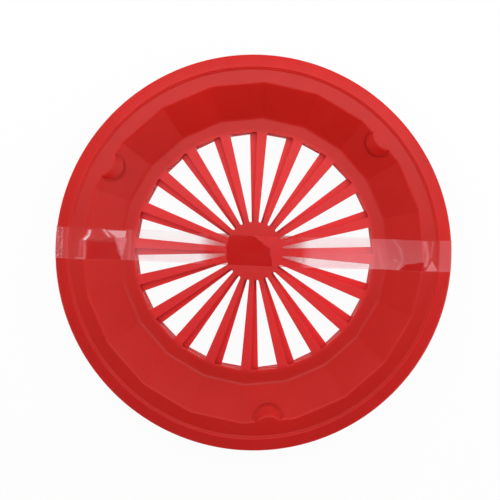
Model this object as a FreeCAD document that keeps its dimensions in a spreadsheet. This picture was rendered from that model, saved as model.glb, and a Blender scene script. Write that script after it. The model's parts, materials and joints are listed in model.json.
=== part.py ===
import FreeCAD, Part
import os
import re
import Sketcher

# A pack of nested moulded plate holders bound by one strip of clear tape.
# Millimetres. +Z is up, the origin is on the table under the centre of the pack,
# and +X runs to the right along the tape as the pack lies before the viewer.

UP = FreeCAD.Vector(0, 0, 1)

SIZES = {
    # rim of one holder, heights above the underside of its base
    "rim_diameter": 260.0,
    "rim_crest": 20.0,
    "ring_reach": 120.0,
    "ring_fall": 0.7,
    "step_run": 1.8,
    "step_rise": 1.1,
    "lip_fall": 2.4,
    "lip_edge": 1.8,
    "lip_roll": 1.5,
    "skin": 1.7,
    # faceted well
    "facet_count": 20,
    "floor_corner": 90.0,
    "mouth_corner": 111.7,
    "base_plate": 2.0,
    "wall_level": 2.6,
    "mouth_lap": 6.0,
    # slots of the base
    "slot_outer_end": 79.7,
    "slot_outer_width": 18.2,
    "slot_inner_end": 19.5,
    "slot_inner_width": 2.6,
    # three lugs that hold the plate's edge down, each over a window in the wall
    "lug_reach": 9.4,
    "lug_seat": 0.4,
    "lug_lap": 1.2,
    "lug_depth": 9.0,
    "lug_skin": 1.6,
    "lug_pitch": 30.5,
    "awning_out": 7.7,
    "awning_top": 10.7,
    "awning_foot": 19.9,
    "window_reach": 10.6,
    # how the holders lie in the pack
    "stack_pitch": 5.15,
    "turn_top": 5.05,
    "turn_third": 44.45,
    "turn_second": 96.55,
    "turn_bottom": 169.45,
    # clear tape
    "film": 0.1,
    "film_gap": 0.3,
    "tape_width": 20.4,
    "tape_turn": -2.1,
    "tape_shift": 1.4,
    "tape_floor_end": 82.0,
    "tape_wall_foot": 91.2,
    "tape_wall_rise": 5.0,
    "tape_slit": 0.5,
}

LUG_FACETS = (2, 8, 15)
HOLDERS = ("holder_1_bottom", "holder_2", "holder_3", "holder_4_top")
TURNS = ("turn_bottom", "turn_second", "turn_third", "turn_top")


def sized(formula):
    """The formula with each of the sheet's names pointed at its cell."""
    return re.sub(r"[a-z_]+", lambda word: "Sizes." + word[0] if word[0] in SIZES else word[0], formula)


def bind(thing, **formulas):
    """Bind properties to formulas of the sheet; a double underscore stands for a dot in a path."""
    for path, formula in formulas.items():
        thing.setExpression(path.replace("__", "."), sized(formula))


def add_sheet(doc):
    sheet = doc.addObject("Spreadsheet::Sheet", "Sizes")
    for row, (name, size) in enumerate(SIZES.items(), start=1):
        sheet.set(f"A{row}", name)
        sheet.set(f"B{row}", str(size))
        sheet.setAlias(f"B{row}", name)
    doc.recompute()
    return sheet


def turned(thing, formula):
    """Turn an object about the upright axis by a formula of the sheet."""
    thing.Placement = FreeCAD.Placement(thing.Placement.Base, FreeCAD.Rotation(UP, 1))
    bind(thing, Placement__Rotation__Angle=formula)


def hold_corner(sketch, index, kind, axis, formula, distance):
    """Hold one coordinate of an outline's corner, on its axis or at a bound distance."""
    if abs(distance) < 1e-9:
        sketch.addConstraint(Sketcher.Constraint("PointOnObject", index, 1, axis))
        return
    number = sketch.addConstraint(Sketcher.Constraint(kind, -1, 1, index, 1, distance))
    sketch.setExpression(f"Constraints[{number}]", sized(formula))


def outline(body, name, plane, corners):
    """A closed sketch of straight lines whose corners are pairs of formulas."""
    sketch = body.newObject("Sketcher::SketchObject", name)
    planes = {feature.Role: feature for feature in body.Origin.OriginFeatures}
    sketch.AttachmentSupport = [(planes[plane], "")]
    sketch.MapMode = "FlatFace"
    points = [[float(sketch.evalExpression(sized(formula))) for formula in corner] for corner in corners]
    count = len(points)
    for index in range(count):
        here = FreeCAD.Vector(*points[index], 0)
        there = FreeCAD.Vector(*points[(index + 1) % count], 0)
        sketch.addGeometry(Part.LineSegment(here, there), False)
    for index in range(count):
        sketch.addConstraint(Sketcher.Constraint("Coincident", index, 2, (index + 1) % count, 1))
    for index, (across, along) in enumerate(corners):
        hold_corner(sketch, index, "DistanceX", -2, across, points[index][0])
        hold_corner(sketch, index, "DistanceY", -1, along, points[index][1])
    return sketch


# Heights and radii that follow from the driving sizes

MOUTH_FLAT = "(mouth_corner * cos(180 / facet_count))"
WALL_LEAN = "atan((mouth_corner - floor_corner) * cos(180 / facet_count) / (rim_crest - base_plate))"
STEP_FOOT = "(rim_crest - ring_fall)"
STEP_TOP = "(rim_crest - ring_fall + step_rise)"
LIP_START = "(ring_reach + step_run)"
EDGE = "(rim_diameter / 2)"
EDGE_TOP = f"({STEP_TOP} - lip_fall)"
EDGE_FOOT = f"({EDGE_TOP} - lip_edge)"


def well_corner(height):
    """Corner radius of the well's inner facets at a height."""
    share = f"({height} - base_plate) / (rim_crest - base_plate)"
    return f"(floor_corner + (mouth_corner - floor_corner) * {share})"


def wall_corner(height):
    """Corner radius of the wall's outer facets at a height."""
    return f"({well_corner(height)} + wall_level / cos(180 / facet_count))"


def facet_ring(doc, name, corner, height):
    """A regular polygon with the middle of one side on +X."""
    ring = doc.addObject("Part::RegularPolygon", name)
    bind(ring, Polygon="facet_count", Circumradius=corner, Placement__Base__z=height)
    turned(ring, "180 / facet_count")
    return ring


def bowl(doc, name, corner_at, low, high):
    """A many-sided bowl form between two heights: a prism whose sides are drafted outwards."""
    prism = doc.addObject("Part::Extrusion", name + "Prism")
    prism.Base = facet_ring(doc, name + "Foot", corner_at(low), low)
    prism.DirMode = "Custom"
    prism.Dir = UP
    prism.Solid = True
    bind(prism, LengthFwd=f"{high} - {low}")
    body = doc.addObject("PartDesign::Body", name)
    body.BaseFeature = prism
    doc.recompute()
    blank = body.Tip
    faces = {f"Face{number}": face.BoundBox for number, face in enumerate(blank.Shape.Faces, start=1)}
    foot = [face for face, box in faces.items() if box.ZMax < blank.Shape.BoundBox.Center.z]
    sides = [face for face, box in faces.items() if box.ZMin < blank.Shape.BoundBox.Center.z < box.ZMax]
    draft = body.newObject("PartDesign::Draft", name + "Draft")
    draft.Base = (blank, sides)
    draft.NeutralPlane = (blank, foot)
    draft.Reversed = True
    bind(draft, Angle=WALL_LEAN)
    body.Tip = draft
    return body


def add_rim(doc):
    """The round rim: flat ring for the plate's edge, step up, and a lip that falls to a rolled edge."""
    body = doc.addObject("PartDesign::Body", "Rim")
    sketch = outline(body, "RimSection", "XZ_Plane", [
        ("mouth_corner - mouth_lap", "rim_crest"),
        ("mouth_corner", "rim_crest"),
        ("ring_reach", STEP_FOOT),
        (LIP_START, STEP_TOP),
        (f"{EDGE} - lip_roll", f"{EDGE_TOP} + lip_roll * lip_fall / ({EDGE} - {LIP_START})"),
        (EDGE, f"{EDGE_TOP} - lip_roll / 2"),
        (EDGE, EDGE_FOOT),
        (LIP_START, f"{STEP_TOP} - skin"),
        ("ring_reach", f"{STEP_FOOT} - skin"),
        ("mouth_corner", "rim_crest - skin"),
        ("mouth_corner - mouth_lap", "rim_crest - skin"),
    ])
    turn = body.newObject("PartDesign::Revolution", "RimTurn")
    turn.Profile = sketch
    turn.ReferenceAxis = (sketch, ["V_Axis"])
    body.Tip = turn
    return body


def add_lug(doc):
    """One lug on +X: an awning that reaches in and down from the well's mouth, sloped underneath."""
    plan = doc.addObject("Part::Cylinder", "LugPlan")
    bind(plan, Radius="lug_reach", Height="lug_depth",
         Placement__Base__x=f"{MOUTH_FLAT} + lug_seat", Placement__Base__z="rim_crest - lug_depth")
    awning = doc.addObject("Part::Cone", "LugAwning")
    bind(awning, Radius1="awning_foot", Radius2="awning_top", Height="lug_depth",
         Placement__Base__x=f"{MOUTH_FLAT} + awning_out", Placement__Base__z="rim_crest - lug_depth")
    room = doc.addObject("Part::Box", "LugRoom")
    bind(room, Length="2 * lug_reach", Width="4 * lug_reach", Height="lug_depth",
         Placement__Base__x=f"{MOUTH_FLAT} + lug_lap - 2 * lug_reach",
         Placement__Base__y="-2 * lug_reach", Placement__Base__z="rim_crest - lug_depth")
    crown = doc.addObject("Part::MultiCommon", "LugCrown")
    crown.Shapes = [plan, awning, room]
    under = doc.addObject("Part::Box", "LugUnder")
    under.Placement = FreeCAD.Placement(FreeCAD.Vector(), FreeCAD.Rotation(FreeCAD.Vector(0, -1, 0), 1))
    bind(under, Length="4 * lug_reach", Width="4 * lug_reach", Height="2 * lug_reach",
         Placement__Rotation__Angle="lug_pitch",
         Placement__Base__x=(f"{MOUTH_FLAT} + lug_lap - 3 * lug_reach * cos(lug_pitch)"
                             " + 2 * lug_reach * sin(lug_pitch)"),
         Placement__Base__y="-2 * lug_reach",
         Placement__Base__z=("rim_crest - lug_skin - 3 * lug_reach * sin(lug_pitch)"
                             " - 2 * lug_reach * cos(lug_pitch)"))
    lug = doc.addObject("Part::Cut", "Lug")
    lug.Base = crown
    lug.Tool = under
    return lug


def add_window(doc):
    """The half-round window in the wall under a lug, cut straight down."""
    window = doc.addObject("Part::Cylinder", "Window")
    window.Angle = 180
    bind(window, Radius="window_reach", Height="2 * rim_crest", Placement__Base__x=f"{MOUTH_FLAT} + lug_seat")
    turned(window, "90")
    return window


def ring_of_three(doc, name, master):
    """Three copies of a form on the middles of the facets that carry a lug."""
    copies = []
    for facet in LUG_FACETS:
        copy = doc.addObject("Part::Compound", f"{name}At{facet}")
        copy.Links = [master]
        turned(copy, f"{facet} * 360 / facet_count")
        copies.append(copy)
    return copies


def add_moulding(doc):
    """One whole holder, with a facet's middle on +X."""
    block = doc.addObject("Part::MultiFuse", "Block")
    block.Shapes = [bowl(doc, "Wall", wall_corner, "0", "(rim_crest - skin / 2)"), add_rim(doc)]
    dish = doc.addObject("Part::Cut", "Dish")
    dish.Base = block
    dish.Tool = bowl(doc, "Well", well_corner, "base_plate", "(rim_crest + skin)")
    windows = doc.addObject("Part::Compound", "Windows")
    windows.Links = ring_of_three(doc, "Window", add_window(doc))
    pierced = doc.addObject("Part::Cut", "PiercedDish")
    pierced.Base = dish
    pierced.Tool = windows
    lugged = doc.addObject("Part::MultiFuse", "LuggedDish")
    lugged.Shapes = [pierced] + ring_of_three(doc, "Lug", add_lug(doc))
    doc.recompute()

    body = doc.addObject("PartDesign::Body", "Moulding")
    body.BaseFeature = lugged
    sketch = outline(body, "SlotOutline", "XY_Plane", [
        ("slot_inner_end", "-slot_inner_width / 2"),
        ("slot_outer_end", "-slot_outer_width / 2"),
        ("slot_outer_end", "slot_outer_width / 2"),
        ("slot_inner_end", "slot_inner_width / 2"),
    ])
    slot = body.newObject("PartDesign::Pocket", "Slot")
    slot.Profile = sketch
    slot.Reversed = True
    bind(slot, Length="2 * base_plate")
    ring = body.newObject("PartDesign::PolarPattern", "SlotRing")
    ring.Originals = [slot]
    ring.Axis = (sketch, ["N_Axis"])
    ring.Angle = 360
    bind(ring, Occurrences="facet_count")
    body.Tip = ring
    doc.recompute()
    return body


def add_holders(doc, moulding):
    """The same moulding again and again, each a step higher and turned by chance."""
    holders = []
    for level, (label, turn) in enumerate(zip(HOLDERS, TURNS)):
        body = doc.addObject("PartDesign::Body", label)
        body.Label = label
        body.BaseFeature = moulding
        turned(body, turn)
        bind(body, Placement__Base__z=f"film + {level} * stack_pitch")
        holders.append(body)
    return holders


def both_sides(path):
    """A path from the left to the right, from its right half."""
    return [(f"-({across})", height) for across, height in reversed(path)] + path


def add_tape_run(doc, label, near, far, level):
    """A run of tape, as the band between its near face and its far face."""
    body = doc.addObject("PartDesign::Body", label)
    body.Label = label
    sketch = outline(body, label + "_section", "XZ_Plane", both_sides(near) + both_sides(far)[::-1])
    run = body.newObject("PartDesign::Pad", label + "_pad")
    run.Profile = sketch
    run.Midplane = True
    bind(run, Length="tape_width")
    body.Tip = run
    turned(body, "tape_turn")
    bind(body, Placement__Base__y="tape_shift", Placement__Base__z=f"film + {level} * stack_pitch")
    return body


def add_tape(doc):
    """The strip's upper run, pressed into the top holder, and its under run, parted at the slit."""
    side = f"({EDGE} + film_gap)"
    slit = f"(({EDGE_TOP} + {EDGE_FOOT}) / 2 + 1.5 * stack_pitch)"
    top_level = len(HOLDERS) - 1
    upper_end = f"({slit} - {top_level} * stack_pitch + tape_slit / 2)"
    upper = [
        ("tape_floor_end", "base_plate"),
        ("tape_wall_foot", "tape_wall_rise"),
        (f"{MOUTH_FLAT} - 3 * film_gap", "rim_crest + film"),
        (LIP_START, f"{STEP_TOP} + film"),
        (f"{EDGE} - lip_roll + 2 * film_gap", f"{EDGE_TOP} + 3 * film_gap"),
        (side, f"{EDGE_TOP} - 2 * film_gap"),
        (side, upper_end),
    ]
    upper_far = [(across, f"{height} + film") for across, height in upper[:-2]]
    upper_far += [(f"{across} + film", height) for across, height in upper[-2:]]
    under = [
        (wall_corner("0") + " + film_gap", "0"),
        (side, f"{EDGE_FOOT} - film_gap"),
        (side, f"{slit} - tape_slit / 2"),
    ]
    under_far = [
        (under[0][0], "-film"),
        (f"{side} + film", under[1][1]),
        (f"{side} + film", under[2][1]),
    ]
    return [
        add_tape_run(doc, "tape_top_run", upper, upper_far, top_level),
        add_tape_run(doc, "tape_under_run", under, under_far, 0),
    ]


def check(doc, parts):
    failed = [thing.Label for thing in doc.Objects if {"Invalid", "Error"} & set(thing.State)]
    failed += [part.Label for part in parts if part.Shape.isNull() or not part.Shape.isValid()]
    if failed:
        raise RuntimeError("failed: " + ", ".join(failed))


def main():
    doc = FreeCAD.newDocument("plate_holder_pack")
    add_sheet(doc)
    parts = add_holders(doc, add_moulding(doc)) + add_tape(doc)
    doc.recompute()
    check(doc, parts)
    os.makedirs("parts", exist_ok=True)
    for part in parts:
        part.Shape.exportStep(f"parts/{part.Label}.step")
        print(part.Label, "volume", round(part.Shape.Volume), "solids", len(part.Shape.Solids))


main()
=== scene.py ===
import json
import math

import bmesh
import bpy
from mathutils import Matrix, Vector, noise


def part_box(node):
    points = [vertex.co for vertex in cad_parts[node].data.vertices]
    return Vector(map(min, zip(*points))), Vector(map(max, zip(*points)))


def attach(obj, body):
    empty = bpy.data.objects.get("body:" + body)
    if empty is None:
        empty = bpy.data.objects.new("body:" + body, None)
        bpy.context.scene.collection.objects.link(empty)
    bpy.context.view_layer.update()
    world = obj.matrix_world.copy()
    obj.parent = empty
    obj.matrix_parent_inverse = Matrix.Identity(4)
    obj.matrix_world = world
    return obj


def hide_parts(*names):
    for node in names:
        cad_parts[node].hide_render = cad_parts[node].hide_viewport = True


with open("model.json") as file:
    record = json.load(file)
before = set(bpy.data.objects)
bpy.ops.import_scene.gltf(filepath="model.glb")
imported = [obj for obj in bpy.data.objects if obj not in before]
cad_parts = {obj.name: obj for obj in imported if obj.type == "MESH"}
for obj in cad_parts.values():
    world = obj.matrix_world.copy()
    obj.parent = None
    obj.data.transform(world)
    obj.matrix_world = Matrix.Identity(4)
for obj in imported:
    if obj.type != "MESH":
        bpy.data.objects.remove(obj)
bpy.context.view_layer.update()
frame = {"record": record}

bl_info = {
    "name": "Plate Holder Pack",
    "version": (1, 0, 0),
    "blender": (4, 5, 0),
    "location": "3D View > Sidebar > Plate Holders",
    "description": "Nested moulded plate holders, bound as a pack with a strip of clear tape",
    "category": "Object",
}

MM = 0.001

HOLDER_NODES = ("holder_1_bottom", "holder_2", "holder_3", "holder_4_top")
TOP_NODE = HOLDER_NODES[-1]
BODY_OF = {
    node: body
    for body, nodes in frame["record"]["behaviour"]["bodies"].items()
    for node in nodes
}
LIFT_OF = {node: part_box(node)[0].z for node in HOLDER_NODES}
RIM_RADIUS = round(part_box(TOP_NODE)[1].x / MM, 1)

# facets that carry a lug, counted from the one on the +X side of an unturned holder
LUG_FACETS = (2, 8, 15)

# how finely curved stretches and the teeth of the cut tail are divided
ROUND_STEPS = 6
COLUMN_STEPS = 10
SLOT_ARC_STEPS = 4
LUG_STEPS = 28
WINDOW_STEPS = 32
TOOTH_STEPS = 4
# how much of a facet's width lies between the narrow strips along its folds
FOLD_SHARE = 0.955
# edges that turn by more than this are shaded as sharp
SHARP_ANGLE = math.radians(20)

# whether a station of the section lies on flat facets or on a round
FACETED = 1.0
ROUND = 0.0


# Properties that a user may change


def length(name, description, millimetres):
    """A size, held in metres and written here in millimetres."""
    return bpy.props.FloatProperty(
        name=name, description=description, default=millimetres * MM, unit="LENGTH", precision=5
    )


def angle(name, description, degrees):
    """An angle, held in radians and written here in degrees."""
    return bpy.props.FloatProperty(
        name=name, description=description, default=math.radians(degrees), subtype="ANGLE"
    )


def share(name, description, value):
    """A part of a whole, from 0 to 1."""
    return bpy.props.FloatProperty(
        name=name, description=description, default=value, min=0.0, max=1.0, subtype="FACTOR"
    )


def colour(name, description, value):
    """A linear colour."""
    return bpy.props.FloatVectorProperty(
        name=name, description=description, default=value, size=3, min=0.0, max=1.0, subtype="COLOR"
    )


class HolderSizes(bpy.types.PropertyGroup):
    """Sizes of one moulded holder; heights are above the underside of its base."""

    facet_count: bpy.props.IntProperty(
        name="Facets", description="Flat sides of the well, and slots in its base", default=20, min=3
    )
    rim_radius: length("Rim radius", "Outer radius of the rim", RIM_RADIUS)
    crest: length("Crest", "Height of the well's mouth", 20.0)
    ring_reach: length("Ring reach", "Radius at which the ring round the mouth ends", 120.0)
    ring_fall: length("Ring fall", "How far the ring falls outwards", 0.7)
    step_run: length("Step run", "Width of the step that stops the plate's edge", 1.8)
    step_rise: length("Step rise", "Height of the step", 1.1)
    lip_fall: length("Lip fall", "How far the lip falls from the step to the edge", 2.4)
    lip_edge: length("Lip edge", "Height of the outer edge", 1.8)
    skin: length("Skin", "Thickness of the rim", 1.7)
    floor_corner: length("Floor corner", "Corner radius of the well's floor", 90.0)
    mouth_corner: length("Mouth corner", "Corner radius of the well's mouth", 111.7)
    base_plate: length("Base plate", "Thickness of the slotted base", 2.0)
    wall_level: length("Wall level", "Thickness of the wall, measured level", 2.6)
    crease_blend: length("Crease blend", "Softness of the crease round the floor", 1.5)
    edge_blend: length("Edge blend", "Softness of the rim's edges", 0.8)
    slot_outer_end: length("Slot outer end", "Radius of a slot's wide end", 79.7)
    slot_outer_width: length("Slot outer width", "Width of a slot's wide end", 18.2)
    slot_inner_end: length("Slot inner end", "Radius of a slot's narrow end", 19.5)
    slot_inner_width: length("Slot inner width", "Width of a slot's narrow end", 2.6)
    slot_corner: length("Slot corner", "Corner radius of a slot", 1.1)
    slot_bevel: length("Slot bevel", "Softened edge round a slot", 0.3)
    gate_mark: length("Gate mark", "Radius of the moulding mark at the hub", 2.3)
    gate_dip: length("Gate dip", "Depth of the moulding mark", 0.12)
    lug_reach: length("Lug reach", "Plan radius of a lug", 9.4)
    lug_seat: length("Lug seat", "How far a lug's centre lies outside the mouth", 0.4)
    lug_lap: length("Lug lap", "How far a lug runs into the rim", 1.2)
    lug_skin: length("Lug skin", "Thickness of a lug at the rim", 1.6)
    lug_pitch: angle("Lug pitch", "Slope of a lug's underside", 30.5)
    awning_out: length("Awning centre", "How far the lug's cone stands outside the mouth", 7.7)
    awning_top: length("Awning top", "Radius of the lug's cone at the crest", 10.7)
    awning_slope: share("Awning slope", "Fall of the lug's cone for its run", 0.978)
    window_reach: length("Window reach", "Radius of the half-round window under a lug", 8.6)
    groove_width: length("Groove width", "Width of the groove round a lug", 1.35)
    groove_depth: length("Groove depth", "Depth of the groove round a lug", 0.85)
    nest_shift: length("Nest shift", "How far each holder lies nearer the viewer than the one above it", 0.2)
    turn_bottom: angle("Turn of the bottom holder", "How the holder lies in the pack", 169.45)
    turn_second: angle("Turn of the second holder", "How the holder lies in the pack", 96.55)
    turn_third: angle("Turn of the third holder", "How the holder lies in the pack", 44.45)
    turn_top: angle("Turn of the top holder", "How the holder lies in the pack", 5.05)


class TapeSizes(bpy.types.PropertyGroup):
    """Sizes of the clear strip that binds the pack."""

    width: length("Width", "Width of the strip", 20.4)
    film: length("Film", "Thickness of the strip", 0.08)
    turn: angle("Turn", "Turn of the strip about the upright axis", -2.1)
    shift: length("Shift", "How far the strip lies off the centre at the hub", 0.23)
    bow: length("Bow", "How far the strip drifts sideways between the hub and the rim", 2.1)
    hover: length("Hover", "Clearance of the film over what it is pressed on", 0.12)
    floor_end: length("Floor end", "Where the film leaves the floor for the wall", 82.0)
    wall_rise: length("Wall rise", "Height at which the film meets the wall", 7.0)
    side: length("Side", "Reach of the film at the pack's side", 130.15)
    upper_slit: length("Upper slit", "Height of the upper run's slit end on the top holder", 9.6)
    under_slit: length("Under slit", "Height of the under run's slit end", 24.7)
    tail_end: length("Tail end", "Where the cut tail ends on the left of the rim", 124.2)
    tooth: length("Tooth", "Pitch of the serrated cut", 1.2)
    tooth_depth: length("Tooth depth", "Depth of the serrated cut", 0.8)


class Finishes(bpy.types.PropertyGroup):
    """Colours and gloss of the plastic and the film."""

    red: colour("Red", "Colour of the moulded plastic", (0.56, 0.008, 0.004))
    # painted light: lighter reds standing in for light coming up through the thin spokes and hub and for side
    # light on the lip; the lower one is brighter still, to lift the shaded spokes of the holders below the
    # top one
    painted_light_red: colour("Thin red", "Colour where light comes through the plastic", (0.7, 0.021, 0.023))
    painted_light_lower_red: colour("Lower red", "The same on the holders below the top one", (0.82, 0.02, 0.024))
    deep_red: colour("Deep red", "Colour where the film is stuck down", (0.53, 0.003, 0.0012))
    film: colour("Film", "Colour of the film's haze", (0.93, 0.36, 0.4))
    # painted highlight: the near-white colour the film takes where its folds, panes and edges catch the light
    painted_fold_highlight: colour("Fold", "Colour of the film along its folds", (1.0, 0.9, 0.92))
    satin: share("Satin", "Roughness of the plastic", 0.41)
    pressed: share("Pressed", "Roughness of the plastic under stuck film", 0.16)


class StudioLayout(bpy.types.PropertyGroup):
    """Camera, floor and light."""

    lens: bpy.props.FloatProperty(
        name="Lens", description="Focal length for a 36 mm sensor", default=71.1, unit="CAMERA"
    )
    camera_place: bpy.props.FloatVectorProperty(
        name="Camera place", description="Where the camera stands", subtype="TRANSLATION",
        unit="LENGTH", default=(0.0129, 0.039, 0.681),
    )
    camera_shift: bpy.props.FloatVectorProperty(
        name="Camera shift", description="Shift of the picture on the sensor", size=2,
        default=(-0.0462, -0.1138),
    )
    key_place: bpy.props.FloatVectorProperty(
        name="Key light place", description="Where the main soft light stands", subtype="TRANSLATION",
        unit="LENGTH", default=(0.075, 0.225, 0.46),
    )
    key_power: bpy.props.FloatProperty(
        name="Key light power", description="Power of the main soft light", default=2.1, unit="POWER"
    )
    key_width: length("Key light width", "Side of the main soft light from left to right", 800.0)
    key_depth: length("Key light depth", "Side of the main soft light from front to back", 440.0)
    fill: share("Fill", "Level of the even light from above", 0.48)
    floor_radius: length("Floor radius", "Radius of the pale floor", 4000.0)


# Node trees in few words


def add_node(tree, kind, inputs=None, **settings):
    """A node with its settings and its inputs, each a value or another node's socket."""
    node = tree.nodes.new(kind)
    for name, value in settings.items():
        setattr(node, name, value)
    for name, value in (inputs or {}).items():
        if isinstance(value, bpy.types.NodeSocket):
            tree.links.new(value, node.inputs[name])
        else:
            node.inputs[name].default_value = value
    return node


def reckon(tree, operation, first, second=0.0, third=0.0, clamp=False):
    """The result of a math node."""
    inputs = {0: first, 1: second, 2: third}
    return add_node(tree, "ShaderNodeMath", inputs, operation=operation, use_clamp=clamp).outputs[0]


def ease(tree, value, low, high, to_low=0.0, to_high=1.0):
    """A smooth step of a value between two limits."""
    inputs = {"Value": value, "From Min": low, "From Max": high, "To Min": to_low, "To Max": to_high}
    node = add_node(tree, "ShaderNodeMapRange", inputs, interpolation_type="SMOOTHSTEP")
    return node.outputs["Result"]


def blend_colours(tree, factor, first, second):
    """A mix of two colours."""
    return add_node(tree, "ShaderNodeMix", {0: factor, 6: first, 7: second}, data_type="RGBA").outputs[2]


def opaque(tone):
    """A colour with full alpha."""
    return (*tone, 1.0)


def shader_group(name, inputs, outputs):
    """A shader node group with its sockets, and its input and output nodes."""
    group = bpy.data.node_groups.new(name, "ShaderNodeTree")
    for label, kind, default in inputs:
        socket = group.interface.new_socket(name=label, in_out="INPUT", socket_type=kind)
        if default is not None:
            socket.default_value = default
    for label, kind in outputs:
        group.interface.new_socket(name=label, in_out="OUTPUT", socket_type=kind)
    return group, group.nodes.new("NodeGroupInput"), group.nodes.new("NodeGroupOutput")


def place_group(tree, group, inputs):
    """A group placed in a material, with its own values."""
    return add_node(tree, "ShaderNodeGroup", inputs, node_tree=group)


# Shared effects of the finishes

# scales of the noise in the moulded grain: its slow change of tone, its blotches of gloss, its fine texture
TONE_NOISE = 26.0
BLOTCH_NOISE = 170.0
TEXTURE_NOISE = 1500.0
NOISE_MIDDLE = 0.5
# height of the blotches as a share of the fine texture's
BLOTCH_HEIGHT = 0.6

# hairline scuffs: how their noise is drawn out, between which of its values a line starts and is full,
# and the same for the patches that hold the lines
SCUFF_STRETCH = (45.0, 1300.0, 45.0)
SCUFF_LINES = (0.66, 0.74)
SCUFF_PATCH_NOISE = 38.0
SCUFF_PATCHES = (0.48, 0.66)

# how finely and how far the edge of a stuck patch wanders, and how soft it is
RAGGED_NOISE = 130.0
RAGGED_WANDER = 4 * MM
STUCK_SOFTNESS = 0.8 * MM
# how far from the strip's middle a stuck patch is full, as a share of the strip's width
STUCK_REACH = 0.49


def satin_grain_group():
    """Moulded grain: a slow change of tone, blotches of gloss and a fine texture."""
    group, given, result = shader_group(
        "satin_grain",
        [("Place", "NodeSocketVector", None), ("Spread", "NodeSocketFloat", 0.08),
         ("Gloss", "NodeSocketFloat", 0.4), ("Gloss spread", "NodeSocketFloat", 0.1)],
        [("Tone", "NodeSocketFloat"), ("Roughness", "NodeSocketFloat"), ("Height", "NodeSocketFloat")],
    )
    place = given.outputs["Place"]
    slow = add_node(group, "ShaderNodeTexNoise", {"Vector": place, "Scale": TONE_NOISE, "Detail": 2.0})
    blotch = add_node(group, "ShaderNodeTexNoise", {"Vector": place, "Scale": BLOTCH_NOISE, "Detail": 3.0})
    fine = add_node(group, "ShaderNodeTexNoise", {"Vector": place, "Scale": TEXTURE_NOISE, "Detail": 2.0})
    swing = reckon(group, "SUBTRACT", slow.outputs[0], NOISE_MIDDLE)
    tone = reckon(group, "MULTIPLY_ADD", swing, given.outputs["Spread"], 1.0)
    patch = reckon(group, "SUBTRACT", blotch.outputs[0], NOISE_MIDDLE)
    gloss = reckon(group, "MULTIPLY_ADD", patch, given.outputs["Gloss spread"], given.outputs["Gloss"])
    height = reckon(group, "MULTIPLY_ADD", blotch.outputs[0], BLOTCH_HEIGHT, fine.outputs[0])
    for name, value in (("Tone", tone), ("Roughness", gloss), ("Height", height)):
        group.links.new(value, result.inputs[name])
    return group


def scuff_group():
    """Hairline scuffs from handling, in one direction."""
    group, given, result = shader_group(
        "handling_scuffs",
        [("Place", "NodeSocketVector", None), ("Direction", "NodeSocketFloat", 0.0),
         ("Amount", "NodeSocketFloat", 0.5)],
        [("Mask", "NodeSocketFloat")],
    )
    turned = add_node(group, "ShaderNodeVectorRotate",
                      {"Vector": given.outputs["Place"], "Angle": given.outputs["Direction"]},
                      rotation_type="Z_AXIS")
    drawn_out = add_node(group, "ShaderNodeVectorMath",
                         {0: turned.outputs[0], 1: SCUFF_STRETCH}, operation="MULTIPLY")
    lines = add_node(group, "ShaderNodeTexNoise",
                     {"Vector": drawn_out.outputs[0], "Scale": 1.0, "Detail": 1.0})
    patches = add_node(group, "ShaderNodeTexNoise",
                       {"Vector": given.outputs["Place"], "Scale": SCUFF_PATCH_NOISE})
    line_mask = ease(group, lines.outputs[0], *SCUFF_LINES)
    patch_mask = ease(group, patches.outputs[0], *SCUFF_PATCHES)
    mask = reckon(group, "MULTIPLY", line_mask, patch_mask)
    group.links.new(reckon(group, "MULTIPLY", mask, given.outputs["Amount"]), result.inputs["Mask"])
    return group


def ragged_place_group():
    """A place that wanders a little, for the uneven edge of a patch."""
    group, given, result = shader_group(
        "ragged_place",
        [("Place", "NodeSocketVector", None), ("Wander", "NodeSocketFloat", RAGGED_WANDER)],
        [("Place", "NodeSocketVector")],
    )
    place = given.outputs["Place"]
    ragged = add_node(group, "ShaderNodeTexNoise", {"Vector": place, "Scale": RAGGED_NOISE, "Detail": 3.0})
    off = add_node(group, "ShaderNodeVectorMath",
                   {0: ragged.outputs["Color"], 1: (NOISE_MIDDLE,) * 3}, operation="SUBTRACT")
    scaled = add_node(group, "ShaderNodeVectorMath",
                      {0: off.outputs[0], "Scale": given.outputs["Wander"]}, operation="SCALE")
    wandered = add_node(group, "ShaderNodeVectorMath", {0: place, 1: scaled.outputs[0]}, operation="ADD")
    group.links.new(wandered.outputs[0], result.inputs["Place"])
    return group


def patch_side_group():
    """One straight side of a patch: 1 within it, fading out at the side."""
    group, given, result = shader_group(
        "patch_side",
        [("Place", "NodeSocketVector", None), ("Corner", "NodeSocketVector", None),
         ("Inward", "NodeSocketVector", None), ("Softness", "NodeSocketFloat", STUCK_SOFTNESS)],
        [("Mask", "NodeSocketFloat")],
    )
    away = add_node(group, "ShaderNodeVectorMath",
                    {0: given.outputs["Place"], 1: given.outputs["Corner"]}, operation="SUBTRACT")
    depth = add_node(group, "ShaderNodeVectorMath",
                     {0: away.outputs[0], 1: given.outputs["Inward"]}, operation="DOT_PRODUCT")
    mask = ease(group, depth.outputs["Value"], 0.0, given.outputs["Softness"])
    group.links.new(mask, result.inputs["Mask"])
    return group


# patches where the film is stuck down: corners along and across the strip, counterclockwise, in millimetres
STUCK_PATCHES = (
    ((-18.5, -11.5), (17.5, -11.5), (18.5, -2.0), (13.0, 1.5), (10.5, 8.5), (10.0, 11.5), (-18.5, 11.5)),
    ((-110.4, -11.5), (-87.5, -11.5), (-93.2, 4.0), (-110.4, 3.2)),
    ((95.7, -11.5), (112.0, -11.5), (112.0, -3.5), (101.0, -5.0), (97.7, -8.8)),
)


def sides(corners):
    """Each side of an outline: its first corner, and its direction."""
    for first, second in zip(corners, corners[1:] + corners[:1]):
        yield Vector(first), (Vector(second) - Vector(first)).normalized()


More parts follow.
